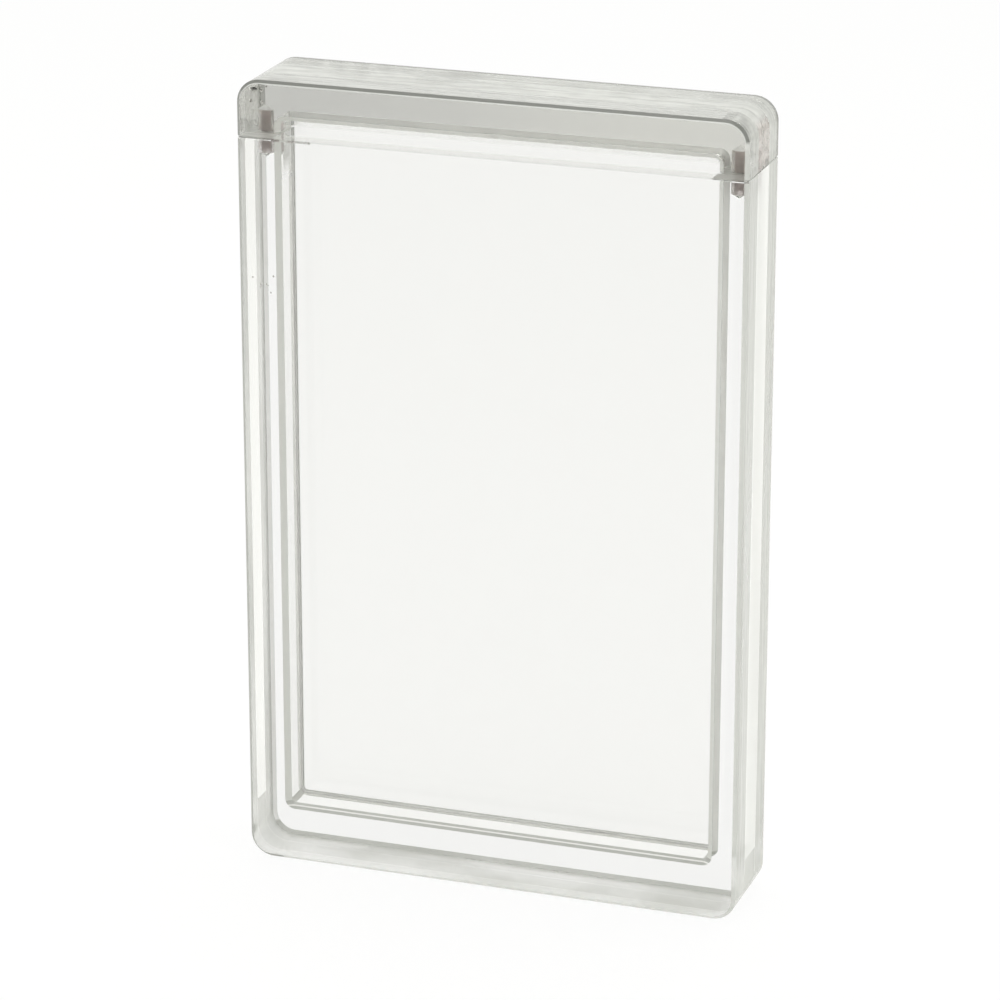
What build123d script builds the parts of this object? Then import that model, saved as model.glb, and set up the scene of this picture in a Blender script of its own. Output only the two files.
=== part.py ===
"""Clear acrylic display case for one graded trading card, closed by a lift-off magnetic lid.

Case and lid are each laminated from three layers of cast acrylic: a front panel, a routed middle
layer that leaves the pocket for the card holder, and a back panel. Each side wall is drilled from
the parting plane for a pair of rod magnets, one in the lid above one in the case.

Millimetres. X is the width, Y the depth with the front towards -Y, and Z is up. The origin is the
centre of the base.
"""

import os
from math import radians, tan

from build123d import *

# Overall size
case_width = 98.0
case_height = 155.0
lid_height = 11.0

# Layers, from front to back, with the cement between them
front_panel_thickness = 6.5
pocket_depth = 7.0
back_panel_thickness = 6.5
cement_film = 0.05

# The pocket that the router leaves: walls beside and under it, and how far it goes up into the lid
side_wall = 6.8
floor_wall = 10.0
lid_recess = 2.5
pocket_corner_radius = 1.0

# Edges
outer_corner_radius = 4.5
face_chamfer = 0.7
parting_chamfer = 0.15
pocket_chamfer = 1.0

# Gap at the parting plane between the case and the lid
parting_gap = 0.1

# Magnets and the holes drilled for them
magnet_diameter = 3.0
magnet_length = 3.0
magnet_chamfer = 0.2
magnet_radial_clearance = 0.05
magnet_recess = 0.15
hole_beyond_magnet = 0.85
drill_point_angle = 118.0

# Levels and depths that follow from the sizes above
lid_bottom_z = case_height - lid_height
case_top_z = lid_bottom_z - parting_gap
roof_z = lid_bottom_z + lid_recess
pocket_width = case_width - 2 * side_wall
case_depth = front_panel_thickness + pocket_depth + back_panel_thickness + 2 * cement_film
front_y = -case_depth / 2
middle_y = front_y + front_panel_thickness + cement_film
back_y = middle_y + pocket_depth + cement_film
magnet_x = (case_width - side_wall) / 2
magnet_y = middle_y + pocket_depth / 2
hole_radius = magnet_diameter / 2 + magnet_radial_clearance
hole_depth = magnet_recess + magnet_length + hole_beyond_magnet

# A cut runs past the face that it opens by this much, and a level is matched to within it
past = 0.01
standing = (Align.CENTER, Align.CENTER, Align.MIN)
up = 1
down = -1


def plate(width, low_z, high_z):
    """A rectangle in the front view, centred on X, between two levels."""
    return Pos(0, (low_z + high_z) / 2) * Rectangle(width, high_z - low_z)


def round_ends(outline, end, radius):
    """Rounds the two corners at the lower (0) or upper (-1) end of a front-view outline."""
    return fillet(outline.vertices().group_by(Axis.Y)[end], radius)


def layer(outline, face_y, thickness):
    """A flat layer cut to a front-view outline, from face_y towards the back."""
    return Pos(0, face_y, 0) * extrude(Plane.XZ * outline, amount=-thickness)


def break_show_face(panel, side, parting_z):
    """Chamfers the outline of a panel's outer face: -1 front, 1 back. The sawn edge stays square."""
    face = panel.faces().sort_by(Axis.Y)[0 if side < 0 else -1]
    outline = [edge for edge in face.edges() if abs(edge.center().Z - parting_z) > past]
    return chamfer(outline, face_chamfer)


def break_sawn_edges(piece, parting_z):
    """Lightly breaks a piece's sawn face, round the case's own outline and at the pocket's mouth."""
    sawn = piece.faces().sort_by(lambda face: abs(face.center().Z - parting_z))[0]
    side_x = case_width / 2 - face_chamfer
    face_y = case_depth / 2 - past

    def free(edge):
        centre = edge.center()
        at_mouth = abs(centre.Y - magnet_y) < past and edge.geom_type == GeomType.LINE
        return abs(centre.X) > side_x or abs(centre.Y) > face_y or at_mouth

    return chamfer([edge for edge in sawn.edges() if free(edge)], parting_chamfer)


def break_pocket_edges(middle):
    """Breaks the routed outline of the pocket on the front and the back of the middle layer."""

    def routed(edge):
        centre = edge.center()
        in_pocket = abs(centre.X) < pocket_width / 2 + past and floor_wall - past < centre.Z < roof_z + past
        on_face = abs(centre.Y - magnet_y) > past
        return in_pocket and on_face

    return chamfer([edge for edge in middle.edges() if routed(edge)], pocket_chamfer)


def place_in_wall(side, parting_z, direction):
    """The frame of a magnet hole: its mouth in the parting face, its axis into the wall."""
    mouth = Pos(side * magnet_x, magnet_y, parting_z)
    return mouth if direction == up else mouth * Rot(180, 0, 0)


def drilled_hole(side, parting_z, direction):
    """A blind hole with the cone that a twist drill leaves at its end."""
    bore = Pos(0, 0, -past) * Cylinder(hole_radius, hole_depth + past, align=standing)
    point_height = hole_radius / tan(radians(drill_point_angle / 2))
    point = Pos(0, 0, hole_depth) * Cone(hole_radius, 0, point_height, align=standing)
    return place_in_wall(side, parting_z, direction) * (bore + point)


def magnet(side, parting_z, direction):
    """A plated rod magnet with broken ends, set just inside the parting face."""
    rod = Pos(0, 0, magnet_recess) * Cylinder(magnet_diameter / 2, magnet_length, align=standing)
    rod = chamfer(rod.edges().filter_by(GeomType.CIRCLE), magnet_chamfer)
    return place_in_wall(side, parting_z, direction) * rod


def case_layers():
    """Front panel, U-shaped pocket frame and back panel of the case."""
    outline = round_ends(plate(case_width, 0, case_top_z), 0, outer_corner_radius)
    pocket = round_ends(plate(pocket_width, floor_wall, case_top_z), 0, pocket_corner_radius)
    front = break_show_face(layer(outline, front_y, front_panel_thickness), -1, case_top_z)
    back = break_show_face(layer(outline, back_y, back_panel_thickness), 1, case_top_z)
    frame = break_pocket_edges(layer(outline - pocket, middle_y, pocket_depth))
    for side in (-1, 1):
        frame -= drilled_hole(side, case_top_z, down)
    return {
        "front_panel": break_sawn_edges(front, case_top_z),
        "pocket_frame": break_sawn_edges(frame, case_top_z),
        "back_panel": break_sawn_edges(back, case_top_z),
    }


def lid_layers():
    """Front strip, recessed core and back strip of the lid."""
    outline = round_ends(plate(case_width, lid_bottom_z, case_height), -1, outer_corner_radius)
    recess = round_ends(plate(pocket_width, lid_bottom_z, roof_z), -1, pocket_corner_radius)
    front = break_show_face(layer(outline, front_y, front_panel_thickness), -1, lid_bottom_z)
    back = break_show_face(layer(outline, back_y, back_panel_thickness), 1, lid_bottom_z)
    core = break_pocket_edges(layer(outline - recess, middle_y, pocket_depth))
    for side in (-1, 1):
        core -= drilled_hole(side, lid_bottom_z, up)
    return {
        "lid_front_strip": break_sawn_edges(front, lid_bottom_z),
        "lid_core": break_sawn_edges(core, lid_bottom_z),
        "lid_back_strip": break_sawn_edges(back, lid_bottom_z),
    }


def magnets():
    """The four rod magnets, a pair facing each other across the parting plane in each side wall."""
    return {
        "left_case_magnet": magnet(-1, case_top_z, down),
        "right_case_magnet": magnet(1, case_top_z, down),
        "left_lid_magnet": magnet(-1, lid_bottom_z, up),
        "right_lid_magnet": magnet(1, lid_bottom_z, up),
    }


os.makedirs("parts", exist_ok=True)
for node, solid in (case_layers() | lid_layers() | magnets()).items():
    export_step(solid, f"parts/{node}.step")
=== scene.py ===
"""Clear acrylic display case for one graded trading card, dressed round its CAD frame.

The case and its lift-off lid are each cemented from three layers of cast acrylic. The CAD nodes
keep their own shape and get finishes that tell polished faces, sawn edges, milled chamfers and
cemented joints apart by where they lie. Cement beads and trapped bubbles are made here and ride
on the case and the lid. Metres, in the frame of the CAD model.
"""

import logging
import math
from dataclasses import dataclass
from enum import Enum
from typing import Any, Sequence, Union

import bmesh
import bpy
from mathutils import Matrix, Vector


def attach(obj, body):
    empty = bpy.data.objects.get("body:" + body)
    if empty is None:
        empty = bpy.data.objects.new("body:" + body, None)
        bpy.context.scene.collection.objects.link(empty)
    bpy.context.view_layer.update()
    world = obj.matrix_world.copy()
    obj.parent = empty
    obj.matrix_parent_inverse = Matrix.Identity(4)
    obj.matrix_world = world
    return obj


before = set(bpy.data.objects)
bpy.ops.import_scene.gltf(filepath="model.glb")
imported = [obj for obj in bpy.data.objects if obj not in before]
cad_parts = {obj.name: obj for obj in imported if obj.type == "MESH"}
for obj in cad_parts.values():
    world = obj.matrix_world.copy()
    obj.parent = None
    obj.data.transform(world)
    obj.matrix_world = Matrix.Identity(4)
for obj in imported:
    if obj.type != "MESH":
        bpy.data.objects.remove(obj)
LOG = logging.getLogger("display_case")

Colour = tuple[float, float, float, float]
Point = tuple[float, float, float]
Material = bpy.types.Material
Node = bpy.types.Node
Socket = bpy.types.NodeSocket
Tree = bpy.types.NodeTree
Source = Union[Node, Socket, float]
Inputs = Union[dict[Any, Any], Sequence[Any]]

# Kinds of node that are used again and again
COMBINE = "ShaderNodeCombineXYZ"
COORDINATES = "ShaderNodeTexCoord"
MATH = "ShaderNodeMath"
MAP_RANGE = "ShaderNodeMapRange"
MIX = "ShaderNodeMix"
MIX_SHADER = "ShaderNodeMixShader"
NOISE = "ShaderNodeTexNoise"
PRINCIPLED = "ShaderNodeBsdfPrincipled"
SEPARATE = "ShaderNodeSeparateXYZ"
TRANSPARENT = "ShaderNodeBsdfTransparent"

# Sockets of a Mix node that mixes colours
FACTOR, FROM_COLOUR, TO_COLOUR = 0, 6, 7
MIXED_COLOUR = 2

MM = 0.001
WHITE: Colour = (1.0, 1.0, 1.0, 1.0)
ACRYLIC_IOR = 1.49

# Nearly all values of a noise texture lie between these
NOISE_RANGE = (0.3, 0.7)

# A face is told by how far its normal points front or back: a sheet's own face at least FLAT, an
# edge or a wall at most CUT, and a chamfer between them. The parting face points up or down at
# least LEVEL, and a rounded corner more than ASLANT both across and up.
FLAT = 0.92
CUT = 0.35
LEVEL = 0.9
ASLANT = 0.12

# A face within PARTING_REACH of the parting plane belongs to the parting face. A hole's wall
# starts at HOLE_MOUTH from that plane, and lies within HOLE_MARGIN of the hole's radius.
PARTING_REACH = 0.3 * MM
HOLE_MOUTH = 0.1 * MM
HOLE_MARGIN = 0.05 * MM

# A ray that has bounced less often than this hasn't bounced at all
NO_BOUNCE = 0.5


class Slot(Enum):
    """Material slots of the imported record, for the pieces made here."""

    CLEAR = "clear_acrylic"
    HAZED = "hazed_acrylic"


class Body(Enum):
    """Bodies that a piece can ride on."""

    CASE = "case"
    LID = "lid"


def linear(hex_colour: str) -> Colour:
    """Turns an sRGB hex colour into linear light, by the standard curve.

    Args:
        hex_colour: Six hex digits, such as "C8C9C3".

    Returns:
        Red, green, blue and full alpha.
    """
    parts = [int(hex_colour[i : i + 2], 16) / 255 for i in (0, 2, 4)]
    light = [c / 12.92 if c <= 0.04045 else ((c + 0.055) / 1.055) ** 2.4 for c in parts]
    return (light[0], light[1], light[2], 1.0)


def add_node(tree: Tree, kind: str, inputs: Inputs = (), **settings: Any) -> Any:
    """Adds a node with its settings, and links or sets its inputs.

    Args:
        tree: The node tree.
        kind: The node's type, by its full name.
        inputs: What goes into each input, in order or by name or number: a value, an output
            socket, or a node, whose first output is meant.
        **settings: Properties of the node.

    Returns:
        The new node.
    """
    node = tree.nodes.new(kind)
    for name, value in settings.items():
        setattr(node, name, value)
    pairs = inputs.items() if isinstance(inputs, dict) else enumerate(inputs)
    for key, value in pairs:
        source = value.outputs[0] if isinstance(value, Node) else value
        if isinstance(source, Socket):
            tree.links.new(source, node.inputs[key])
        else:
            node.inputs[key].default_value = source
    return node


def both(tree: Tree, *masks: Source) -> Source:
    """Multiplies masks and shares.

    Args:
        tree: The node tree.
        *masks: Two or more of them.

    Returns:
        Their product, which is 1 only where all of them are.
    """
    product = masks[0]
    for mask in masks[1:]:
        product = add_node(tree, MATH, [product, mask], operation="MULTIPLY")
    return product


def neither(tree: Tree, mask: Source) -> Source:
    """1 where the mask is 0."""
    return add_node(tree, MATH, [1.0, mask], operation="SUBTRACT")


def distance(tree: Tree, across: Source, along: Source) -> Source:
    """The length of the slanted side, from the two sides at right angles."""
    squares = [add_node(tree, MATH, [side, side], operation="MULTIPLY") for side in (across, along)]
    return add_node(tree, MATH, [add_node(tree, MATH, squares, operation="ADD")], operation="SQRT")


def new_material(name: str) -> Material:
    """Makes a node material with nothing in its tree but the output.

    Args:
        name: The material's name.

    Returns:
        The material.
    """
    material = bpy.data.materials.new(name)
    material.use_nodes = True
    tree = material.node_tree
    for node in list(tree.nodes):
        if node.type != "OUTPUT_MATERIAL":
            tree.nodes.remove(node)
    return material


def show(material: Material, shader: Node) -> Material:
    """Ends a material.

    Args:
        material: The material.
        shader: The node that goes to its output.

    Returns:
        The material.
    """
    tree = material.node_tree
    tree.links.new(shader.outputs[0], tree.nodes["Material Output"].inputs["Surface"])
    return material


@dataclass(frozen=True)
class Pocket:
    """The outline of the pocket as its mouth shows in the joints, chamfers included.

    Attributes:
        half_width: From the middle to the mouth's side.
        low: Level of its lower side.
        high: Level of its upper side, in the lid.
        radius: Of its corners.
    """

    half_width: float
    low: float
    high: float
    radius: float

    def outside(self, tree: Tree, x: Socket, z: Socket) -> Source:
        """Tells the cemented joint from the open pocket.

        Args:
            tree: The node tree.
            x: Place along the width.
            z: Place along the height.

        Returns:
            A mask that is 1 outside the rounded outline and 0 inside it.
        """
        half_height = (self.high - self.low) / 2
        from_middle = add_node(tree, MATH, [z, (self.low + self.high) / 2], operation="SUBTRACT")
        past = []
        for place, limit in ((x, self.half_width), (from_middle, half_height)):
            away = add_node(tree, MATH, [place], operation="ABSOLUTE")
            beyond = add_node(tree, MATH, [away, limit - self.radius], operation="SUBTRACT")
            past.append(add_node(tree, MATH, [beyond, 0.0], operation="MAXIMUM"))
        reach = distance(tree, *past)
        return add_node(tree, MATH, [reach, self.radius], operation="GREATER_THAN")


@dataclass(frozen=True)
class Pattern:
    """Unevenness of a surface.

    Attributes:
        size: Of its features, across.
        stretch: Scale along each axis, under 1 where the features are longer.
        detail: Finer octaves.
    """

    size: float
    stretch: Point
    detail: float

    def noise(self, tree: Tree) -> Node:
        """A noise from -1 to 1.

        Args:
            tree: The node tree.

        Returns:
            The node whose first output is the noise.
        """
        place = add_node(tree, COORDINATES).outputs["Object"]
        stretched = add_node(tree, "ShaderNodeMapping", {"Vector": place, "Scale": self.stretch})
        texture = add_node(
            tree, NOISE, {"Vector": stretched, "Scale": 1 / self.size, "Detail": self.detail}
        )
        return add_node(tree, MAP_RANGE, [texture, *NOISE_RANGE, -1.0, 1.0])


# Buffing and cement vary over centimetres, and more slowly upwards. A saw leaves fine lines along
# the piece, drawn coarser than they are so that they show. A mill and a drill leave specks.
CLOUDS = Pattern(24 * MM, (1.0, 1.0, 0.45), 2.0)
SAW_LINES = Pattern(0.9 * MM, (0.05, 1.0, 0.05), 2.0)
SPECKS = Pattern(1.5 * MM, (0.3, 1.0, 1.0), 3.0)


@dataclass(frozen=True)
class Veil:
    """A fine mechanical surface that hides part of what is behind it.

    Attributes:
        colour: Its own colour.
        cover: The share of the light that it stops.
        roughness: Of the gloss that is left.
        clouds: How much the cover drifts over centimetres.
        streaks: How much it varies in fine lines along the piece.
        grain: How much it varies in specks.
    """

    colour: str
    cover: float
    roughness: float
    clouds: float = 0.0
    streaks: float = 0.0
    grain: float = 0.0


# Finishes of more than one piece: polished faces, the pocket's milled walls, and the outer edges
# near the base
POLISHED = Veil("F9F9F8", 0.0, 0.0)
SATIN = Veil("FDFDFB", 0.8, 0.3, clouds=0.1)
HAZY_BASE = Veil("CCCDC8", 0.6, 0.15, clouds=0.4)


class Side(Enum):
    """Sides of a limit, each with the number of its axis and the direction along it."""

    LEFT = (0, -1)
    RIGHT = (0, 1)
    FRONT = (1, -1)
    BACK = (1, 1)
    BELOW = (2, -1)


@dataclass(frozen=True)
class Zone:
    """Where a piece has a finish of its own.

    Attributes:
        side: Which side of the limit it takes in.
        limit: In the case's frame.
        veil: Its finish.
        blend: Over this distance, centred on the limit.
    """

    side: Side
    limit: float
    veil: Veil
    blend: float = 0.01 * MM

    def mask(self, tree: Tree, place: Sequence[Socket]) -> Source:
        """A mask that is 1 inside the zone.

        Args:
            tree: The node tree.
            place: The three coordinates.

        Returns:
            The mask.
        """
        axis, direction = self.side.value
        start = self.limit - direction * self.blend / 2
        full = start + direction * self.blend
        steps = [place[axis], start, full]
        return add_node(tree, MAP_RANGE, steps, interpolation_type="SMOOTHSTEP")


def share(
    tree: Tree, mask: Source, place: Sequence[Socket], zones: Sequence[Zone], plain: Veil
) -> list[tuple[Source, Veil]]:
    """Shares a surface between its zones and a plain finish.

    Args:
        tree: The node tree.
        mask: 1 on the surface.
        place: The three coordinates.
        zones: The zones, of which an earlier one goes before a later one.
        plain: The finish of what is left.

    Returns:
        A mask and a finish for each.
    """
    shares = []
    for zone in zones:
        inside = zone.mask(tree, place)
        shares.append((both(tree, mask, inside), zone.veil))
        mask = both(tree, mask, neither(tree, inside))
    return shares + [(mask, plain)]


@dataclass(frozen=True)
class Faces:
    """Masks that tell the faces of a layer apart.

    Attributes:
        rim: Its outer edges.
        walls: The pocket's walls, floor and roof.
        corners: The rounded corners between them.
        sawn: The parting face.
        chamfers: Its chamfers, except the fine ones at the parting face.
        holes: The walls of the magnet holes.
        points: The cones at their ends.
        passing: Where light goes straight on, as through a cemented joint.
    """

    rim: Source
    walls: Source
    corners: Source
    sawn: Source
    chamfers: Source
    holes: Source
    points: Source
    passing: Source


@dataclass(frozen=True)
class CastAcrylic:
    """Cast acrylic sheet: bright and clear where polished, pale grey where cut.

    Attributes:
        name: The material's name.
        pocket: The pocket's outline, which tells joints from open faces.
        edge: Outer edges of the layer.
        base: Outer edges below base_level.
        chamfer: Milled chamfers.
        drilled: The magnet holes.
        joint_reach: Joints lie within this distance of the middle plane.
        hole_x: Distance of the magnet holes from the middle.
        hole_radius: Of the magnet holes.
        hole_depth: Where the cones at their ends start, from the parting plane.
        hole_reach: How far the holes and their cones go from the parting plane.
        parting_level: The parting plane.
        drill_point: The cones.
        edge_zones: Where the outer edges differ.
        chamfer_zones: Where the chamfers differ.
        parting: The sawn face between the case and the lid.
        parting_zones: Where it differs.
        wall: The pocket's walls, floor and roof.
        corner: The rounded corners between them.
        wall_fade: The walls are clear at the parting plane, and have their full finish from this
            height.
        wall_passing: The share of light that the walls pass straight on, as an optical finish does.
        relief: How strongly the saw lines on the edges bend the light.
        relief_height: Of the saw lines.
        contact_reach: Within this distance of the middle, the parting faces touch so closely that
            light passes as it does through a joint.
        contact: How fully it passes there.
        base_level: Where the edge's finish becomes the base's.
        base_blend: Over this height.
        clear: What a polished face passes on, in two crossings.
        joint: What a cemented joint's face passes on at its clearest, towards the right.
        joint_cloud: What it passes on at its cloudiest, towards the left.
        joint_width: Over which it gets cloudy.
        joint_drift: How far the clouds move that to and fro.
        lamplight: What a face passes of a lamp's light, so that the case's shadow stays faint.
    """

    name: str
    pocket: Pocket
    edge: Veil
    base: Veil
    chamfer: Veil
    drilled: Veil
    joint_reach: float
    hole_x: float
    hole_radius: float
    hole_depth: float
    hole_reach: float
    parting_level: float
    drill_point: Veil = POLISHED
    edge_zones: tuple[Zone, ...] = ()
    chamfer_zones: tuple[Zone, ...] = ()
    parting: Veil = POLISHED
    parting_zones: tuple[Zone, ...] = ()
    wall: Veil = POLISHED
    corner: Veil = POLISHED
    wall_fade: float = 9.0 * MM
    wall_passing: float = 0.0
    relief: float = 0.35
    relief_height: float = 0.02 * MM
    contact_reach: float = 0.0
    contact: float = 0.84
    base_level: float = 0.0
    base_blend: float = 0.3 * MM
    clear: str = "F9F9F8"
    joint: str = "FEFEFE"
    joint_cloud: str = "FEFEFE"
    joint_width: float = 70 * MM
    joint_drift: float = 12 * MM
    lamplight: str = "FAFAF9"

    def faces(self, tree: Tree, place: Sequence[Socket]) -> Faces:
        """Tells the faces apart, by which way they point and where they lie.

        Args:
            tree: The node tree.
            place: The three coordinates.

        Returns:
            A mask for each kind of face.
        """
        x, y, z = place
        normal = add_node(tree, "ShaderNodeNewGeometry").outputs["True Normal"]
        sides = add_node(tree, SEPARATE, [normal]).outputs
        across, depthwise, upwards = (
            add_node(tree, MATH, [side], operation="ABSOLUTE") for side in sides
        )
        flat = add_node(tree, MATH, [depthwise, FLAT], operation="GREATER_THAN")
        cut = add_node(tree, MATH, [depthwise, CUT], operation="LESS_THAN")
        milled = add_node(tree, MATH, [neither(tree, flat), cut], operation="SUBTRACT")
        level = add_node(tree, MATH, [upwards, LEVEL], operation="GREATER_THAN")
        turning = both(
            tree,
            add_node(tree, MATH, [across, ASLANT], operation="GREATER_THAN"),
            add_node(tree, MATH, [upwards, ASLANT], operation="GREATER_THAN"),
        )
        from_middle = add_node(tree, MATH, [x], operation="ABSOLUTE")
        from_plane = add_node(tree, MATH, [y], operation="ABSOLUTE")
        above = add_node(tree, MATH, [z, self.parting_level], operation="SUBTRACT")
        from_parting = add_node(tree, MATH, [above], operation="ABSOLUTE")
        at_parting = add_node(tree, MATH, [from_parting, PARTING_REACH], operation="LESS_THAN")
        outside = self.pocket.outside(tree, x, z)

        # Magnet holes, whose walls face every way round
        from_axis = add_node(tree, MATH, [from_middle, self.hole_x], operation="SUBTRACT")
        reach = distance(tree, from_axis, y)
        drilled = both(
            tree,
            add_node(tree, MATH, [reach, self.hole_radius + HOLE_MARGIN], operation="LESS_THAN"),
            add_node(tree, MATH, [from_parting, self.hole_reach], operation="LESS_THAN"),
            add_node(tree, MATH, [from_parting, HOLE_MOUTH], operation="GREATER_THAN"),
        )
        bare = neither(tree, drilled)
        point = add_node(tree, MATH, [from_parting, self.hole_depth], operation="GREATER_THAN")

        # Joints, and parting faces in close contact, pass light straight on
        near_plane = add_node(tree, MATH, [from_plane, self.joint_reach], operation="LESS_THAN")
        joint = both(tree, flat, near_plane, outside, bare)
        sawn = both(tree, level, at_parting, bare)
        broken = both(tree, milled, at_parting)
        touching = both(
            tree,
            add_node(tree, MATH, [sawn, broken], operation="MAXIMUM"),
            add_node(tree, MATH, [from_middle, self.contact_reach], operation="LESS_THAN"),
            self.contact,
        )
        passing = add_node(tree, MATH, [joint, touching], operation="MAXIMUM")

        # Outer edges, and the pocket's walls, which fade out towards the parting plane
        cross_cut = both(tree, cut, bare, neither(tree, sawn))
        pocket = both(tree, cross_cut, neither(tree, outside))
        corners = both(tree, pocket, turning)
        steps = [from_parting, self.wall_fade / 2, self.wall_fade]
        fading = add_node(tree, MAP_RANGE, steps, interpolation_type="SMOOTHSTEP")
        walls = both(tree, pocket, neither(tree, corners), fading)
        if self.wall_passing:
            terms = [walls, self.wall_passing, passing]
            passing = add_node(tree, MATH, terms, operation="MULTIPLY_ADD")
        return Faces(
            rim=both(tree, cross_cut, outside),
            walls=walls,
            corners=corners,
            sawn=sawn,
            chamfers=both(tree, milled, bare, neither(tree, at_parting)),
            holes=both(tree, drilled, neither(tree, point)),
            points=both(tree, drilled, point),
            passing=passing,
        )

    def finishes(
        self, tree: Tree, place: Sequence[Socket], faces: Faces
    ) -> list[tuple[Source, Veil]]:
        """Gives every kind of face its finish.

        Args:
            tree: The node tree.
            place: The three coordinates.
            faces: The masks of the faces.

        Returns:
            A mask and a finish for each.
        """
        low, high = self.base_level - self.base_blend / 2, self.base_level + self.base_blend / 2
        steps = [place[2], low, high, 1.0, 0.0]
        below = add_node(tree, MAP_RANGE, steps, interpolation_type="SMOOTHSTEP")
        upper = both(tree, faces.rim, neither(tree, below))
        return [
            *share(tree, upper, place, self.edge_zones, self.edge),
            (both(tree, faces.rim, below), self.base),
            (faces.walls, self.wall),
            (faces.corners, self.corner),
            *share(tree, faces.sawn, place, self.parting_zones, self.parting),
            (faces.holes, self.drilled),
            (faces.points, self.drill_point),
            *share(tree, faces.chamfers, place, self.chamfer_zones, self.chamfer),
        ]

    def mixed(
        self, tree: Tree, finishes: Sequence[tuple[Source, Veil]], noises: Sequence[Node]
    ) -> tuple[Any, Source, Source]:
        """Mixes the finishes over clear polished acrylic.

        Args:
            tree: The node tree.
            finishes: A mask and a finish for each kind of face.
            noises: Clouds, saw lines and specks.

        Returns:
            Colour, clearness and roughness.
        """
        colour: Any = linear(self.clear)
        clearness: Source = 1.0
        roughness: Source = 0.0
        for mask, veil in finishes:
            if veil is POLISHED:
                continue
            colours = {FACTOR: mask, FROM_COLOUR: colour, TO_COLOUR: linear(veil.colour)}
            colour = add_node(tree, MIX, colours, data_type="RGBA").outputs[MIXED_COLOUR]
            cover: Source = veil.cover
            for noise, swing in zip(noises, (veil.clouds, veil.streaks, veil.grain)):
                if swing:
                    cover = add_node(tree, MATH, [noise, swing, cover], operation="MULTIPLY_ADD")
            if isinstance(cover, Node):
                cover = add_node(tree, "ShaderNodeClamp", [cover])
            clearness = both(tree, clearness, neither(tree, both(tree, mask, cover)))
            terms = [mask, veil.roughness, roughness]
            roughness = add_node(tree, MATH, terms, operation="MULTIPLY_ADD")
        return colour, clearness, roughness

    def material(self) -> Material:
        """Builds the material.

        Returns:
            The finished material.
        """
        material = new_material(self.name)
        tree = material.node_tree
        coordinates = add_node(tree, COORDINATES).outputs["Object"]
        place = tuple(add_node(tree, SEPARATE, [coordinates]).outputs)
        noises = [pattern.noise(tree) for pattern in (CLOUDS, SAW_LINES, SPECKS)]
        clouds, saw_lines = noises[:2]
        faces = self.faces(tree, place)
        finishes = self.finishes(tree, place, faces)
        colour, clearness, roughness = self.mixed(tree, finishes, noises)
        relief = add_node(
            tree,
            "ShaderNodeBump",
            {
                "Strength": both(tree, faces.rim, self.relief),
                "Distance": self.relief_height,
                "Height": saw_lines,
            },
        )
        acrylic = add_node(
            tree,
            PRINCIPLED,
            {
                "Base Color": colour,
                "Transmission Weight": clearness,
                "Roughness": roughness,
                "IOR": ACRYLIC_IOR,
                "Normal": relief,
            },
        )

        # The joints' cement, cloudier towards the left, and what reaches the floor
        terms = [clouds, self.joint_drift, place[0]]
        drifting = add_node(tree, MATH, terms, operation="MULTIPLY_ADD")
        haze = add_node(tree, MAP_RANGE, [drifting, self.joint_width / 2, -self.joint_width / 2])
        colours = {
            FACTOR: haze,
            FROM_COLOUR: linear(self.joint),
            TO_COLOUR: linear(self.joint_cloud),
        }
        tint = add_node(tree, MIX, colours, data_type="RGBA").outputs[MIXED_COLOUR]
        cement = add_node(tree, TRANSPARENT, {"Color": tint})
        body = add_node(tree, MIX_SHADER, [faces.passing, acrylic, cement])
        lamplight = add_node(tree, TRANSPARENT, {"Color": linear(self.lamplight)})
        shadow = add_node(tree, "ShaderNodeLightPath").outputs["Is Shadow Ray"]
        return show(material, add_node(tree, MIX_SHADER, [shadow, body, lamplight]))


@dataclass(frozen=True)
class NickelPlate:
    """Nickel plating over a sintered magnet: a warm grey metal with a soft, slightly uneven gloss.

    Attributes:
        name: The material's name.
        colour: Of the plating.
        roughness: From its glossiest spots to its dullest.
        grain: Size of the spots, a little coarser than the sintered grain so that they show.
    """

    name: str = "nickel_plated_magnet"
    colour: str = "D6CECC"
    roughness: tuple[float, float] = (0.27, 0.47)
    grain: float = 0.6 * MM

    def material(self) -> Material:
        """Builds the material.

        Returns:
            The finished material.
        """
        material = new_material(self.name)
        tree = material.node_tree
        place = add_node(tree, COORDINATES).outputs["Object"]
        grain = add_node(tree, NOISE, {"Vector": place, "Scale": 1 / self.grain, "Detail": 3.0})
        uneven = add_node(tree, MAP_RANGE, [grain, 0.0, 1.0, *self.roughness])
        metal = add_node(
            tree,
            PRINCIPLED,
            {"Base Color": linear(self.colour), "Metallic": 1.0, "Roughness": uneven},
        )
        return show(material, metal)


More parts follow.
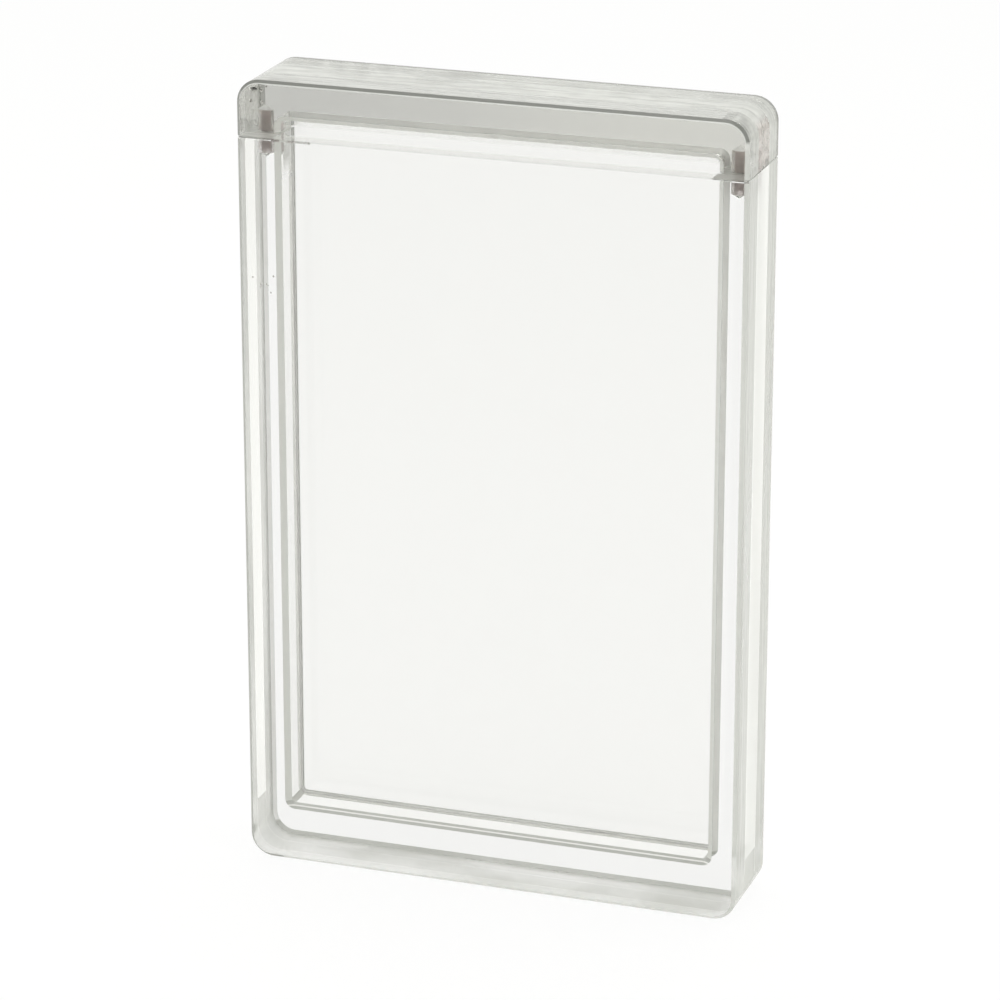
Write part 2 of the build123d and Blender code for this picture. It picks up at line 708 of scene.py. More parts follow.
@dataclass(frozen=True)
class SetCement:
    """Acrylic cement that has set in a bead: nearly clear, with a grey line at its foot.

    Attributes:
        name: The material's name.
        foot_from: Depth at which the foot starts, 0.3 mm in front of the back panel.
        colour: Of the bead.
        foot: Of its foot.
        roughness: Of its skin.
        clearness: From its milkiest stretches to its clearest.
        stretch: Length of a stretch.
    """

    name: str = "set_acrylic_cement"
    foot_from: float = 3.2 * MM
    colour: str = "FDFDFB"
    foot: str = "BDBEB9"
    roughness: float = 0.3
    clearness: tuple[float, float] = (0.15, 0.65)
    stretch: float = 9 * MM

    def material(self) -> Material:
        """Builds the material.

        Returns:
            The finished material.
        """
        material = new_material(self.name)
        tree = material.node_tree
        place = add_node(tree, COORDINATES).outputs["Object"]
        drift = add_node(tree, NOISE, {"Vector": place, "Scale": 1 / self.stretch, "Detail": 3.0})
        clearness = add_node(tree, MAP_RANGE, [drift, *NOISE_RANGE, *self.clearness])
        depth = add_node(tree, SEPARATE, [place]).outputs["Y"]
        at_foot = add_node(tree, MATH, [depth, self.foot_from], operation="GREATER_THAN")
        colours = {FACTOR: at_foot, FROM_COLOUR: linear(self.colour), TO_COLOUR: linear(self.foot)}
        cement = add_node(
            tree,
            PRINCIPLED,
            {
                "Base Color": add_node(tree, MIX, colours, data_type="RGBA").outputs[MIXED_COLOUR],
                "Transmission Weight": both(tree, clearness, neither(tree, at_foot)),
                "Roughness": self.roughness,
                "IOR": ACRYLIC_IOR,
            },
        )
        return show(material, cement)


@dataclass(frozen=True)
class TrappedAir:
    """The wall of an air bubble in cement, drawn as a mirror: a painted highlight at its rim, and
    painted shade in its middle.

    Attributes:
        name: The material's name.
        rim: Colour at the rim, a painted highlight.
        middle: Colour in the middle, painted shade.
        roughness: Of the wall.
        turn: How far the wall turns away from the eye where the rim's colour starts, and where it
            is full.
    """

    name: str = "air_bubble_in_cement"
    rim: str = "FFFFFD"
    middle: str = "B4B0AC"
    roughness: float = 0.12
    turn: tuple[float, float] = (0.02, 0.22)

    def material(self) -> Material:
        """Builds the material.

        Returns:
            The finished material.
        """
        material = new_material(self.name)
        tree = material.node_tree
        slope = add_node(tree, "ShaderNodeLayerWeight").outputs["Facing"]
        # Painted highlight and shade: the colour turns from the dark middle to the bright rim as
        # the wall turns away from the eye.
        at_rim = add_node(tree, MAP_RANGE, [slope, *self.turn])
        colours = {FACTOR: at_rim, FROM_COLOUR: linear(self.middle), TO_COLOUR: linear(self.rim)}
        colour = add_node(tree, MIX, colours, data_type="RGBA").outputs[MIXED_COLOUR]
        wall = add_node(
            tree,
            PRINCIPLED,
            {"Base Color": colour, "Metallic": 1.0, "Roughness": self.roughness},
        )
        return show(material, wall)


class Recipe:
    """A Geometry Nodes tree whose sizes are named inputs, turned into a plain mesh."""

    def __init__(self, name: str) -> None:
        """Starts an empty tree.

        Args:
            name: The tree's name.
        """
        self.tree = bpy.data.node_groups.new(name, "GeometryNodeTree")
        kind = "NodeSocketGeometry"
        self.tree.interface.new_socket("Geometry", in_out="OUTPUT", socket_type=kind)
        self.values: dict[str, Any] = {}
        self.entrance = add_node(self.tree, "NodeGroupInput")

    def size(self, name: str, value: Any, kind: str = "NodeSocketFloat") -> Socket:
        """Adds a named input with its value.

        Args:
            name: What the input is.
            value: Its value.
            kind: The socket's type.

        Returns:
            The input's socket inside the tree.
        """
        socket = self.tree.interface.new_socket(name, in_out="INPUT", socket_type=kind)
        self.values[socket.identifier] = value
        return self.entrance.outputs[name]

    def line(self, points: Sequence[Node], closed: bool) -> Node:
        """A polyline through points.

        Args:
            points: Its corners, in order.
            closed: Whether it returns to the first.

        Returns:
            The node that gives the curve.
        """
        tree = self.tree
        corner = add_node(tree, "GeometryNodeIndexSwitch", data_type="VECTOR")
        while len(corner.index_switch_items) < len(points):
            corner.index_switch_items.new()
        for number, source in enumerate([add_node(tree, "GeometryNodeInputIndex"), *points]):
            tree.links.new(source.outputs[0], corner.inputs[number])
        row = add_node(tree, "GeometryNodeMeshLine", {"Count": len(points)})
        bent = add_node(tree, "GeometryNodeSetPosition", {"Geometry": row, "Position": corner})
        curve = add_node(tree, "GeometryNodeMeshToCurve", {"Mesh": bent})
        return add_node(tree, "GeometryNodeSetSplineCyclic", {"Geometry": curve, "Cyclic": closed})

    def finish(self, geometry: Node, name: str, material: Material, body: Body, slot: Slot) -> None:
        """Ends the tree, turns its result into a plain mesh and hands the piece to the frame.

        Args:
            geometry: What the tree made.
            name: The piece's name.
            material: Its material.
            body: The body it rides on.
            slot: The record's slot for its finish; not used.
        """
        tree = self.tree
        real = add_node(tree, "GeometryNodeRealizeInstances", {"Geometry": geometry})
        inputs = {"Geometry": real, "Material": material}
        dressed = add_node(tree, "GeometryNodeSetMaterial", inputs)
        add_node(tree, "NodeGroupOutput", {"Geometry": dressed})
        piece = bpy.data.objects.new(name, bpy.data.meshes.new(name))
        bpy.context.scene.collection.objects.link(piece)
        modifier = piece.modifiers.new(tree.name, "NODES")
        modifier.node_group = tree
        for identifier, value in self.values.items():
            modifier[identifier] = value
        graph = bpy.context.evaluated_depsgraph_get()
        mesh = bpy.data.meshes.new_from_object(piece.evaluated_get(graph), depsgraph=graph)
        piece.modifiers.remove(modifier)
        mesh.name = name
        piece.data = mesh
        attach(piece, body.value)
        LOG.info("%s: %d faces, rides on %s", name, len(mesh.polygons), body.value)


@dataclass(frozen=True)
class CementBead:
    """The bead of cement that fills the groove between the pocket's chamfer and the back panel.

    Attributes:
        name: The piece's name.
        body: The body it rides on.
        half_width: From the middle to the pocket's wall.
        far_level: Level of the pocket's floor, or of its roof in the lid.
        open_level: Level of the parting face, where the bead stops.
        corner_radius: Of the pocket's corners.
        groove: Width of the chamfer that it fills.
        face: Depth at which the back panel's inner face lies.
        foot: How far it spreads on the back panel.
        film: Space left between the bead and the acrylic.
        hollow: Where its face dips, in shares of the groove and of the foot.
        corner_steps: Points on each rounded corner.
    """

    name: str
    body: Body
    half_width: float
    far_level: float
    open_level: float
    corner_radius: float
    groove: float
    face: float
    foot: float = 0.25 * MM
    film: float = 0.02 * MM
    hollow: tuple[float, float] = (0.3, 0.4)
    corner_steps: int = 6

    def path(self, recipe: Recipe) -> Node:
        """The pocket's outline at the back panel, from one side of the mouth to the other.

        Args:
            recipe: The tree it is made in.

        Returns:
            The node that gives the curve.
        """
        tree = recipe.tree
        half = recipe.size("Half Width", self.half_width)
        far = recipe.size("Far Level", self.far_level)
        mouth = recipe.size("Open Level", self.open_level)
        radius = recipe.size("Corner Radius", self.corner_radius)
        depth = recipe.size("Face Depth", self.face)
        minus = add_node(tree, MATH, [half, -1.0], operation="MULTIPLY")
        start, end = (half, minus) if self.open_level > self.far_level else (minus, half)
        corners = ((start, mouth), (start, far), (end, far), (end, mouth))
        points = [add_node(tree, COMBINE, [x, depth, z]) for x, z in corners]
        outline = recipe.line(points, closed=False)
        rounded = add_node(
            tree,
            "GeometryNodeFilletCurve",
            {"Curve": outline, "Count": self.corner_steps, "Radius": radius},
            mode="POLY",
        )
        forwards = {"Curve": rounded, "Normal": (0.0, -1.0, 0.0)}
        return add_node(tree, "GeometryNodeSetCurveNormal", forwards, mode="FREE")

    def section(self, recipe: Recipe) -> Node:
        """The bead's section, from the bottom of the groove to its foot.

        Args:
            recipe: The tree it is made in.

        Returns:
            The node that gives the curve.
        """
        tree = recipe.tree
        groove = recipe.size("Groove", self.groove)
        foot = recipe.size("Foot", self.foot)
        film = recipe.size("Film", self.film)
        films = add_node(tree, MATH, [film, 2.0], operation="MULTIPLY")
        deep = add_node(tree, MATH, [groove, films], operation="SUBTRACT")

        # Each corner's two coordinates, as a size and the share of it
        corners = (
            ((film, 1.0), (deep, -1.0)),
            ((film, 1.0), (foot, 1.0)),
            ((groove, self.hollow[0]), (foot, self.hollow[1])),
            ((deep, 1.0), (film, -1.0)),
        )
        points = []
        for corner in corners:
            x, y = (add_node(tree, MATH, pair, operation="MULTIPLY") for pair in corner)
            points.append(add_node(tree, COMBINE, [x, y, 0.0]))
        return recipe.line(points, closed=True)

    def build(self, material: Material) -> None:
        """Sweeps the section along the pocket's outline.

        Args:
            material: Of the bead.
        """
        recipe = Recipe(self.name)
        path = self.path(recipe)
        section = self.section(recipe)
        inputs = {"Curve": path, "Profile Curve": section, "Fill Caps": True}
        bead = add_node(recipe.tree, "GeometryNodeCurveToMesh", inputs)
        recipe.finish(bead, self.name, material, self.body, Slot.HAZED)


@dataclass(frozen=True)
class JointBubbles:
    """Small flat air bubbles caught in a cemented joint.

    Attributes:
        name: The piece's name.
        body: The body it rides on.
        count: How many.
        low: Lowest corner of the space they lie in.
        high: Its highest corner.
        sizes: Smallest and largest radius.
        seed: Of their places and sizes.
        height: Of a bubble, against its width.
        thickness: Of a bubble, against its width.
        smoothness: How often the faces of its ball are divided.
    """

    name: str
    body: Body
    count: int
    low: Point
    high: Point
    sizes: tuple[float, float]
    seed: int
    height: float = 1.0
    thickness: float = 0.4
    smoothness: int = 3

    def build(self, material: Material) -> None:
        """Scatters the bubbles over the joint.

        Args:
            material: Of the bubbles.
        """
        recipe = Recipe(self.name)
        tree = recipe.tree
        count = recipe.size("Count", self.count, "NodeSocketInt")
        seed = recipe.size("Seed", self.seed, "NodeSocketInt")
        low, high = (
            add_node(tree, COMBINE, [recipe.size(f"{end} {axis}", v) for axis, v in zip("XYZ", at)])
            for end, at in (("Low", self.low), ("High", self.high))
        )
        small = recipe.size("Smallest Radius", self.sizes[0])
        large = recipe.size("Largest Radius", self.sizes[1])
        height = recipe.size("Height", self.height)
        random = "FunctionNodeRandomValue"
        spot = add_node(tree, random, {0: low, 1: high, "Seed": seed}, data_type="FLOAT_VECTOR")
        points = add_node(tree, "GeometryNodePoints", {"Count": count, "Position": spot})
        chance = add_node(tree, random, {2: small, 3: large, "Seed": seed}, data_type="FLOAT")
        radius = chance.outputs[1]
        ball = add_node(
            tree, "GeometryNodeMeshIcoSphere", {"Radius": 1.0, "Subdivisions": self.smoothness}
        )
        sides = [
            add_node(tree, MATH, [radius, part], operation="MULTIPLY")
            for part in (1.0, self.thickness, height)
        ]
        scale = add_node(tree, COMBINE, sides)
        bubbles = add_node(
            tree,
            "GeometryNodeInstanceOnPoints",
            {"Points": points, "Instance": ball, "Scale": scale},
        )
        real = add_node(tree, "GeometryNodeRealizeInstances", {"Geometry": bubbles})
        smooth = add_node(tree, "GeometryNodeSetShadeSmooth", {"Geometry": real})
        recipe.finish(smooth, self.name, material, self.body, Slot.CLEAR)


@dataclass(frozen=True)
class SharedMaterials:
    """Materials that the case and the lid have in common.

    Attributes:
        nickel: Of the magnets.
        cement: Of the beads.
        air: Of the small bubbles.
    """

    nickel: Material
    cement: Material
    air: Material


@dataclass(frozen=True)
class Laminate:
    """Three cemented layers round the pocket: what the case and the lid have in common.

    Attributes:
        shared: The materials that both have.
        width: Outside, across.
        depth: Outside, front to back.
        side_wall: Acrylic left beside the pocket.
        floor_wall: Acrylic left under it.
        lid_level: The lid's lower face.
        case_level: The case's sawn face under it.
        roof_level: The pocket's upper end, in the lid.
        top_level: The lid's top.
        corner_radius: Of the pocket's corners.
        chamfer: Round the pocket's edges.
        pocket_depth: Thickness of the routed layer.
        cement_film: Between two layers.
        joint_margin: How far from the routed layer's faces a face still belongs to a joint.
        hole_radius: Of the magnet holes.
        hole_depth: Of the holes, from the parting plane to their points.
        hole_reach: Of the holes with their points.
        cut_line_width: Of the painted shade line along the front of a sawn face.
        bead_gap: Between a bead's end and the parting face.
    """

    shared: SharedMaterials
    width: float = 98.0 * MM
    depth: float = 20.1 * MM
    side_wall: float = 6.8 * MM
    floor_wall: float = 10.0 * MM
    lid_level: float = 144.0 * MM
    case_level: float = 143.9 * MM
    roof_level: float = 146.5 * MM
    top_level: float = 155.0 * MM
    corner_radius: float = 1.0 * MM
    chamfer: float = 1.0 * MM
    pocket_depth: float = 7.0 * MM
    cement_film: float = 0.05 * MM
    joint_margin: float = 0.2 * MM
    hole_radius: float = 1.55 * MM
    hole_depth: float = 4.07 * MM
    hole_reach: float = 5.1 * MM
    cut_line_width: float = 1.6 * MM
    bead_gap: float = 0.2 * MM

    @property
    def edge(self) -> float:
        """From the middle to the outer edges."""
        return self.width / 2

    @property
    def face(self) -> float:
        """From the middle plane to the outer faces."""
        return self.depth / 2

    @property
    def joint(self) -> float:
        """From the middle plane to the joints."""
        return self.pocket_depth / 2

    @property
    def half_pocket(self) -> float:
        """From the middle to the pocket's wall."""
        return self.edge - self.side_wall

    def finish(
        self, name: str, base: Veil = HAZY_BASE, drilled: str = "D6CCC9", **settings: Any
    ) -> CastAcrylic:
        """A cast acrylic finish fitted to the pocket and the holes, with the common sawn face and
        its painted shade.

        Args:
            name: The material's name.
            base: Finish of the outer edges at the bottom.
            drilled: Colour of the magnet holes.
            **settings: Its other finishes.

        Returns:
            The finish.
        """
        pocket = Pocket(
            half_width=self.half_pocket + self.chamfer,
            low=self.floor_wall - self.chamfer,
            high=self.roof_level + self.chamfer,
            radius=self.corner_radius + self.chamfer,
        )
        # Painted shade on the sawn face: a dark line along its front, and a darker grey over the
        # right wall.
        parting_shade_line = Veil("82827E", 0.8, 0.3, grain=0.3)
        right_parting_shade = Veil("9C9C98", 0.7, 0.3, grain=0.4)
        return CastAcrylic(
            name,
            pocket,
            base=base,
            parting=Veil("C8C9C4", 0.5, 0.3, grain=0.35),
            parting_zones=(
                Zone(Side.FRONT, self.cut_line_width - self.face, parting_shade_line),
                Zone(Side.RIGHT, self.half_pocket, right_parting_shade),
            ),
            drilled=Veil(drilled, 0.55, 0.3, grain=0.35),
            joint_reach=self.joint + self.joint_margin,
            hole_x=(self.width - self.side_wall) / 2,
            hole_radius=self.hole_radius,
            hole_depth=self.hole_depth,
            hole_reach=self.hole_reach,
            parting_level=(self.lid_level + self.case_level) / 2,
            **settings,
        )

    def lay_bead(self, name: str, body: Body, far_level: float, open_level: float) -> None:
        """Lays a bead of cement along the pocket's back edge.

        Args:
            name: The piece's name.
            body: The body it rides on.
            far_level: Level of the pocket's end.
            open_level: Level at which the bead stops, near the parting face.
        """
        CementBead(
            name,
            body,
            half_width=self.half_pocket,
            far_level=far_level,
            open_level=open_level,
            corner_radius=self.corner_radius,
            groove=self.chamfer,
            face=self.joint + self.cement_film,
        ).build(self.shared.cement)


def dress_nodes(materials: dict[str, Material]) -> None:
    """Gives CAD nodes their materials.

    Args:
        materials: The material of each node, by the node's name.
    """
    for name, material in materials.items():
        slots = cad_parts[name].data.materials
        slots.clear()
        slots.append(material)
        LOG.info("%s: %s", name, material.name)


@dataclass(frozen=True)
class Case(Laminate):
    """The case: two panels with the routed frame between them, and a magnet in each side wall.

    Attributes:
        base_level: Where the panels' edges turn into the base.
        base_blend: Over this height.
        back_corner: Height of the back panel's dull lower chamfer.
        lower_line: From the floor, upper side of the painted shade line at the foot of its chamfer.
        upper_line: Lower side of the painted shade line at its head.
        line_end: Upper side of that line.
    """

    base_level: float = 9 * MM
    base_blend: float = 6 * MM
    back_corner: float = 2.5 * MM
    lower_line: float = -0.55 * MM
    upper_line: float = -0.35 * MM
    line_end: float = 0.4 * MM

    def panels(self) -> tuple[CastAcrylic, CastAcrylic]:
        """Finishes the front and the back panel.

        Their sawn edges look pale grey with fine lines, and cloudy near the base. Their chamfers
        look whiter, except down the front's left side, which is painted darker as a painted shade
        line, and along the back's foot.

        Returns:
            The two finishes.
        """
        # Painted shade: darker grey down the front panel's left chamfer, as a dark line.
        left_chamfer_shade = Veil("A4A5A0", 0.8, 0.2, clouds=0.1)
        lower_chamfer = Veil("D0D1CC", 0.85, 0.3, clouds=0.1)
        common = {
            "edge": Veil("C4C5C0", 0.6, 0.15, clouds=0.25, streaks=0.12),
            "base_level": self.base_level,
            "base_blend": self.base_blend,
            "contact_reach": self.half_pocket,
        }
        front = self.finish(
            "cast_acrylic_front_panel",
            base=Veil("DFE0DC", 0.5, 0.15, clouds=0.4),
            chamfer=Veil("DADBD7", 0.6, 0.2, clouds=0.1),
            chamfer_zones=(Zone(Side.LEFT, -self.half_pocket, left_chamfer_shade),),
            **common,
        )
        back = self.finish(
            "cast_acrylic_back_panel",
            chamfer=Veil("FDFDFB", 0.7, 0.2, clouds=0.1),
            chamfer_zones=(Zone(Side.BELOW, self.back_corner, lower_chamfer),),
            **common,
        )
        return front, back

    def routed_frame(self) -> CastAcrylic:
        """Finishes the routed frame.

        The pocket's walls are satin and its chamfers white, with a painted shade line at the foot
        and at the head of the floor's. Its rounded corners are painted grey, as painted shade.

        Returns:
            The finish.
        """
        # Painted shade: grey lines at the foot and at the head of the floor's chamfer, white
        # between them.
        line = Veil("B9BAB5", 0.75, 0.3, clouds=0.1)
        return self.finish(
            "cast_acrylic_routed_frame",
            edge=POLISHED,
            edge_zones=(Zone(Side.RIGHT, 0.0, Veil("FDFDFB", 0.55, 0.12)),),
            base_level=self.floor_wall,
            chamfer=Veil("FDFDFB", 0.6, 0.2),
            chamfer_zones=(
                Zone(Side.BELOW, self.floor_wall + self.lower_line, line),
                Zone(Side.BELOW, self.floor_wall + self.upper_line, Veil("FDFDFB", 0.7, 0.3)),
                Zone(Side.BELOW, self.floor_wall + self.line_end, line),
                Zone(Side.FRONT, 0.0, Veil("ECEDE9", 0.85, 0.3, clouds=0.1)),
            ),
            wall=SATIN,
            # Painted shade: grey on the pocket's rounded corners.
            corner=Veil("C6C7C2", 0.8, 0.3, clouds=0.1),
            wall_passing=0.75,
            drilled="ACA19F",
            relief=0.0,
        )

    def dress(self) -> None:
        """Gives the case's nodes their materials."""
        front, back = self.panels()
        dress_nodes(
            {
                "front_panel": front.material(),
                "pocket_frame": self.routed_frame().material(),
                "back_panel": back.material(),
                "left_case_magnet": self.shared.nickel,
                "right_case_magnet": self.shared.nickel,
            }
        )

    def lay_cement(self) -> None:
        """Lays the bead round the lower part of the pocket."""
        open_level = self.case_level - self.bead_gap
        self.lay_bead("case_cement_bead", Body.CASE, self.floor_wall, open_level)

    def trap_air(self) -> None:
        """Scatters a few bubbles in the joint of the left wall and the front panel."""
        JointBubbles(
            "case_left_joint_bubbles",
            Body.CASE,
            count=7,
            low=(-self.edge + 0.8 * MM, -self.joint - 0.2 * MM, self.case_level - 34 * MM),
            high=(-self.edge + 6.0 * MM, -self.joint, self.case_level - 20 * MM),
            sizes=(0.08 * MM, 0.2 * MM),
            seed=11,
        ).build(self.shared.air)


@dataclass(frozen=True)
class Lid(Laminate):
    """The lid: two strips with the recessed core between them, and a magnet in each end.

    Attributes:
        end_width: Of an end's finish, which takes in the outermost of the rounded corners.
        end_blend: Over which an end's finish comes in.
        corner_drop: How far below the top the chamfers' painted shade ends and they get pale.
        corner_blend: Over this height.
        left_line: Width of the painted shade line down the front strip's left chamfer.
        left_blend: Over which it fades.
        front_rim: Width of the painted highlight rim at the front chamfer's outer edge.
        back_rim: Width of the painted shade rim along the back strip's outer edge.
    """

    end_width: float = 0.8 * MM
    end_blend: float = 1.4 * MM
    corner_drop: float = 4 * MM
    corner_blend: float = 0.6 * MM
    left_line: float = 0.75 * MM
    left_blend: float = 0.35 * MM
    front_rim: float = 0.2 * MM
    back_rim: float = 1.6 * MM

    def left_end(self, veil: Veil) -> Zone:
        """The lid's left end, with a finish of its own."""
        return Zone(Side.LEFT, self.end_width - self.edge, veil, self.end_blend)

    def strips(self) -> tuple[CastAcrylic, CastAcrylic]:
        """Finishes the front and the back strip.

        Their sawn edges look streaked, and nearly clear at the left end. Their chamfers are painted
        dark along the top, a painted shade line round the lid, and pale down the sides. A painted
        shade line also runs down the front strip's left chamfer and along the back strip's outer
        edge, and a painted highlight along the front chamfer's outer rim.

        Returns:
            The two finishes.
        """
        common = {
            "edge": Veil("C5C6C1", 0.5, 0.1, clouds=0.25, streaks=0.18, grain=0.1),
            # Painted shade: the chamfers are dark grey along the top, as a dark line round the lid.
            "chamfer": Veil("767772", 0.92, 0.3, clouds=0.08),
            "contact_reach": self.half_pocket,
        }
        left_end = self.left_end(Veil("EDEEEA", 0.2, 0.08, streaks=0.08, grain=0.1))
        # Painted shade: a dark rim along the back strip's outer edge.
        back_rim = Veil("8A8B86", 0.75, 0.2, clouds=0.15)
        # Painted shade: a dark line down the front strip's left chamfer.
        left_line = Veil("8A8B87", 0.85, 0.2, clouds=0.1)
        side_chamfer = Zone(
            Side.BELOW,
            self.top_level - self.corner_drop,
            Veil("E2E3DF", 0.6, 0.2, clouds=0.1),
            self.corner_blend,
        )
        front = self.finish(
            "cast_acrylic_lid_front_strip",
            edge_zones=(left_end,),
            chamfer_zones=(
                Zone(Side.LEFT, self.left_line - self.edge, left_line, self.left_blend),
                side_chamfer,
                # Painted highlight: a paler rim at the front chamfer's outer edge.
                Zone(Side.FRONT, self.front_rim - self.face, Veil("CACBC7", 0.9, 0.2)),
            ),
            **common,
        )
        back = self.finish(
            "cast_acrylic_lid_back_strip",
            edge_zones=(left_end, Zone(Side.BACK, self.face - self.back_rim, back_rim)),
            chamfer_zones=(side_chamfer,),
            **common,
        )
        return front, back

    def core(self) -> CastAcrylic:
        """Finishes the recessed core.

        Its cemented joints and its edges are hazy, which makes the lid look pale grey, and its
        drill points are painted white, a painted highlight of the light that their cones reflect.

        Returns:
            The finish.
        """
        left_end = self.left_end(Veil("E6E7E3", 0.28, 0.12, streaks=0.12, grain=0.25))
        right_end = Veil("CCC4BF", 0.4, 0.1, streaks=0.15, grain=0.35)
        right_start = self.edge - self.end_width
        return self.finish(
            "hazed_acrylic_lid_core",
            edge=Veil("CACBC6", 0.65, 0.12, clouds=0.2, streaks=0.15, grain=0.15),
            edge_zones=(left_end, Zone(Side.RIGHT, right_start, right_end, self.end_blend)),
            chamfer=Veil("F0F0EC", 0.85, 0.3, clouds=0.08),
            chamfer_zones=(Zone(Side.BACK, 0.0, Veil("FFFFFF", 0.35, 0.3)),),
            wall=SATIN,
            wall_passing=0.5,
            # Painted highlight: the drill points are white.
            drill_point=Veil("FFFFFF", 0.95, 0.2),
            joint="EAEAE7",
            joint_cloud="E2E2E0",
        )

    def dress(self) -> None:
        """Gives the lid's nodes their materials."""
        front, back = self.strips()
        dress_nodes(
            {
                "lid_front_strip": front.material(),
                "lid_core": self.core().material(),
                "lid_back_strip": back.material(),
                "left_lid_magnet": self.shared.nickel,
                "right_lid_magnet": self.shared.nickel,
            }
        )

    def lay_cement(self) -> None:
        """Lays the bead round the upper part of the pocket."""
        open_level = self.lid_level + self.bead_gap
        self.lay_bead("lid_cement_bead", Body.LID, self.roof_level, open_level)

    def trap_air(self) -> None:
        """Scatters bubbles in a joint at each end, and sets one large bubble in the left corner."""
        JointBubbles(
            "lid_left_joint_bubbles",
            Body.LID,
            count=9,
            low=(-self.edge + 0.9 * MM, -self.joint - 0.3 * MM, self.lid_level + 5.2 * MM),
            high=(-self.edge + 4.5 * MM, -self.joint, self.top_level - 1.6 * MM),
            sizes=(0.1 * MM, 0.36 * MM),
            seed=4,
        ).build(self.shared.air)
        middle = (-self.edge + 1.9 * MM, -self.joint - 0.05 * MM, self.top_level - 2.7 * MM)
        JointBubbles(
            "lid_left_large_bubble",
            Body.LID,
            count=1,
            low=middle,
            high=middle,
            sizes=(0.95 * MM, 0.95 * MM),
            seed=1,
            height=0.6,
        # Painted shade: a darker middle for the large bubble.
        ).build(TrappedAir("large_air_bubble_in_cement", middle="4C4A48").material())
        JointBubbles(
            "lid_right_joint_bubbles",
            Body.LID,
            count=16,
            low=(self.edge - 4.2 * MM, self.joint - 0.1 * MM, self.lid_level + 0.6 * MM),
            high=(self.edge - 0.6 * MM, self.joint + 0.3 * MM, self.top_level - 3.0 * MM),
            sizes=(0.1 * MM, 0.5 * MM),
            seed=7,
        ).build(self.shared.air)


@dataclass(frozen=True)
class Lamp:
    """A soft rectangular lamp that points at the case's middle.

    Attributes:
        name: Its name.
        place: Where it hangs.
        size: Its width and height.
        power: In watts.
        aim: The case's middle.
    """

    name: str
    place: Point
    size: tuple[float, float]
    power: float
    aim: Point = (0.0, 0.0, 75 * MM)

    def hang(self) -> None:
        """Adds the lamp to the scene."""
        light = bpy.data.lights.new(self.name, "AREA")
        light.shape = "RECTANGLE"
        light.size, light.size_y = self.size
        light.energy = self.power
        lamp = bpy.data.objects.new(self.name, light)
        away = Vector(self.place) - Vector(self.aim)
        turn = away.to_track_quat("Z", "Y").to_matrix().to_4x4()
        lamp.matrix_world = Matrix.Translation(self.place) @ turn
        bpy.context.scene.collection.objects.link(lamp)


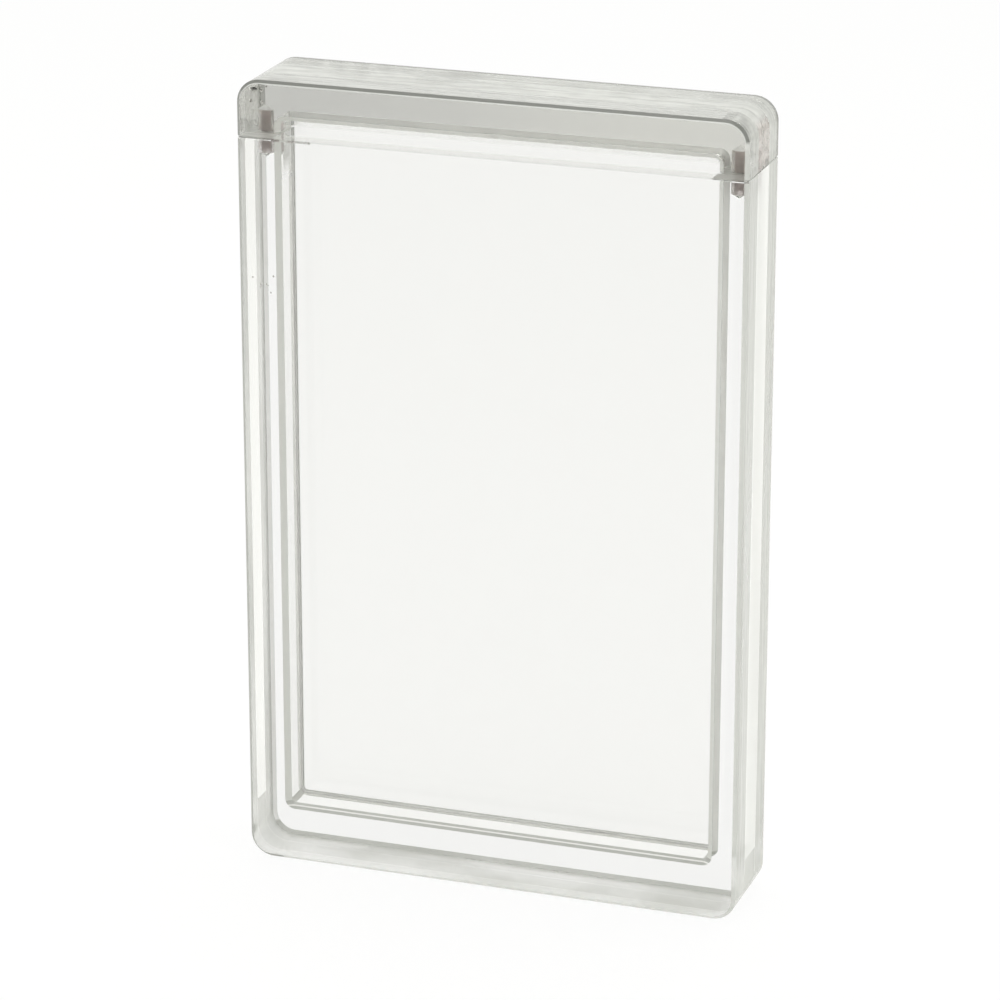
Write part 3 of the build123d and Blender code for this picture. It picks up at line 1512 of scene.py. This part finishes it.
@dataclass(frozen=True)
class Studio:
    """Plain pale floor, a white sweep behind, a grey room in front, three soft lamps and a camera.

    Attributes:
        unit: The case's width, which the camera's distance and target count in.
        azimuth: Of the camera, in degrees from straight in front, to the right.
        elevation: Of the camera, in degrees.
        distance: From the target to the camera, in units.
        focal_length: In picture widths.
        target: Across and up, in units.
        sensor: Width of the sensor, in millimetres.
        room: Colour of the room in front.
        sweep: Colour of the sweep behind, as it lights the case.
        sweep_range: Where the room starts to turn into the sweep, and where it has, from -1
            straight in front to 1 straight behind.
        floor_reach: From the case to the floor's sides.
        floor_drop: Space between the base and the floor, so that the two don't coincide.
        floor_colour: Of the paper, which is matt and takes a soft shadow.
        floor_roughness: Of the paper.
        floor_white: How far the floor is seen as white as the sweep, which leaves it a soft shadow.
        lamps: The lamps.
    """

    unit: float = 98.0 * MM
    azimuth: float = 19.1
    elevation: float = 19.3
    distance: float = 8.5
    focal_length: float = 4.43
    target: tuple[float, float] = (-0.011, 0.768)
    sensor: float = 36.0
    room: str = "D8D9D6"
    sweep: str = "FAFAF8"
    sweep_range: tuple[float, float] = (-0.6, 0.5)
    floor_reach: float = 3.0
    floor_drop: float = 0.3 * MM
    floor_colour: str = "EDEDEB"
    floor_roughness: float = 0.9
    floor_white: float = 0.85
    lamps: tuple[Lamp, ...] = (
        Lamp("top_lamp", (0.0, 0.1, 1.2), (0.8, 0.8), 6.0),
        Lamp("left_lamp", (-1.1, -0.4, 0.6), (0.5, 0.9), 2.0),
        Lamp("right_lamp", (1.1, -0.4, 0.5), (0.5, 0.9), 2.0),
    )

    def seen_directly(self, tree: Tree) -> Source:
        """A mask of what the eye sees of the backdrop itself, straight or through clear walls.

        Args:
            tree: The node tree.

        Returns:
            1 there, and 0 for mirrored and scattered light.
        """
        path = add_node(tree, "ShaderNodeLightPath").outputs
        rays = [path["Is Camera Ray"], path["Is Transmission Ray"]]
        depths = (path["Glossy Depth"], path["Diffuse Depth"])
        return both(
            tree,
            add_node(tree, MATH, rays, operation="MAXIMUM"),
            *(add_node(tree, MATH, [depth, NO_BOUNCE], operation="LESS_THAN") for depth in depths),
        )

    def build_world(self) -> None:
        """A sweep that is white behind the case and darkens towards the room in front of it."""
        world = bpy.data.worlds.new("studio")
        bpy.context.scene.world = world
        world.use_nodes = True
        tree = world.node_tree
        tree.nodes.clear()
        direction = add_node(tree, COORDINATES).outputs["Generated"]
        backwards = add_node(tree, SEPARATE, [direction]).outputs["Y"]
        steps = [backwards, *self.sweep_range]
        behind = add_node(tree, MAP_RANGE, steps, interpolation_type="SMOOTHSTEP")
        colours = {FACTOR: behind, FROM_COLOUR: linear(self.room), TO_COLOUR: linear(self.sweep)}
        tone = add_node(tree, MIX, colours, data_type="RGBA").outputs[MIXED_COLOUR]
        natural = add_node(tree, "ShaderNodeBackground", {"Color": tone, "Strength": 1.0})
        white = add_node(tree, "ShaderNodeBackground", {"Color": WHITE, "Strength": 1.0})
        mixed = add_node(tree, MIX_SHADER, [self.seen_directly(tree), natural, white])
        add_node(tree, "ShaderNodeOutputWorld", {"Surface": mixed})

    def build_floor(self) -> None:
        """A wide sheet of white paper just under the case."""
        mesh = bpy.data.meshes.new("paper_floor")
        shape = bmesh.new()
        bmesh.ops.create_grid(shape, x_segments=1, y_segments=1, size=self.floor_reach)
        bmesh.ops.translate(shape, verts=shape.verts, vec=(0, 0, -self.floor_drop))
        shape.to_mesh(mesh)
        shape.free()
        floor = bpy.data.objects.new("paper_floor", mesh)
        bpy.context.scene.collection.objects.link(floor)
        material = new_material("white_paper")
        tree = material.node_tree
        inputs = {"Base Color": linear(self.floor_colour), "Roughness": self.floor_roughness}
        paper = add_node(tree, PRINCIPLED, inputs)
        glow = add_node(tree, "ShaderNodeEmission", {"Color": WHITE, "Strength": 1.0})
        seen = both(tree, self.seen_directly(tree), self.floor_white)
        mesh.materials.append(show(material, add_node(tree, MIX_SHADER, [seen, paper, glow])))

    def build_camera(self) -> None:
        """Sets the camera at the viewing angle."""
        turn, tilt = math.radians(self.azimuth), math.radians(self.elevation)
        back = Vector(
            (math.sin(turn) * math.cos(tilt), -math.cos(turn) * math.cos(tilt), math.sin(tilt))
        )
        target = Vector((self.target[0] * self.unit, 0, self.target[1] * self.unit))
        lens = bpy.data.cameras.new("camera")
        lens.sensor_width = self.sensor
        lens.lens = self.sensor * self.focal_length
        camera = bpy.data.objects.new("camera", lens)
        aim = back.to_track_quat("Z", "Y").to_matrix().to_4x4()
        camera.matrix_world = Matrix.Translation(target + back * self.distance * self.unit) @ aim
        bpy.context.scene.collection.objects.link(camera)
        bpy.context.scene.camera = camera

    def build(self) -> None:
        """Builds the whole studio."""
        self.build_world()
        self.build_floor()
        for lamp in self.lamps:
            lamp.hang()
        self.build_camera()


@dataclass(frozen=True)
class Bounces:
    """How often light may turn, enough to cross every wall of the case.

    Attributes:
        clear: At clear and glossy faces.
        straight: At faces that pass it straight on.
        scattered: At dull faces.
    """

    clear: int = 40
    straight: int = 60
    scattered: int = 4

    def set_up(self) -> None:
        """Sets the bounces and the plain view transform."""
        scene = bpy.context.scene
        scene.view_settings.view_transform = "Standard"
        scene.cycles.max_bounces = self.clear
        scene.cycles.transmission_bounces = self.clear
        scene.cycles.glossy_bounces = self.clear
        scene.cycles.transparent_max_bounces = self.straight
        scene.cycles.diffuse_bounces = self.scattered


def main() -> None:
    """Builds the scene round the frame."""
    logging.basicConfig(level=logging.INFO, format="%(name)s: %(message)s")
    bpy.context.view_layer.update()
    Bounces().set_up()
    Studio().build()
    shared = SharedMaterials(
        nickel=NickelPlate().material(),
        cement=SetCement().material(),
        air=TrappedAir().material(),
    )
    case, lid = Case(shared), Lid(shared)
    for part in (case, lid):
        part.dress()
    for part in (case, lid):
        part.lay_cement()
    for part in (lid, case):
        part.trap_air()


if __name__ == "__main__":
    main()
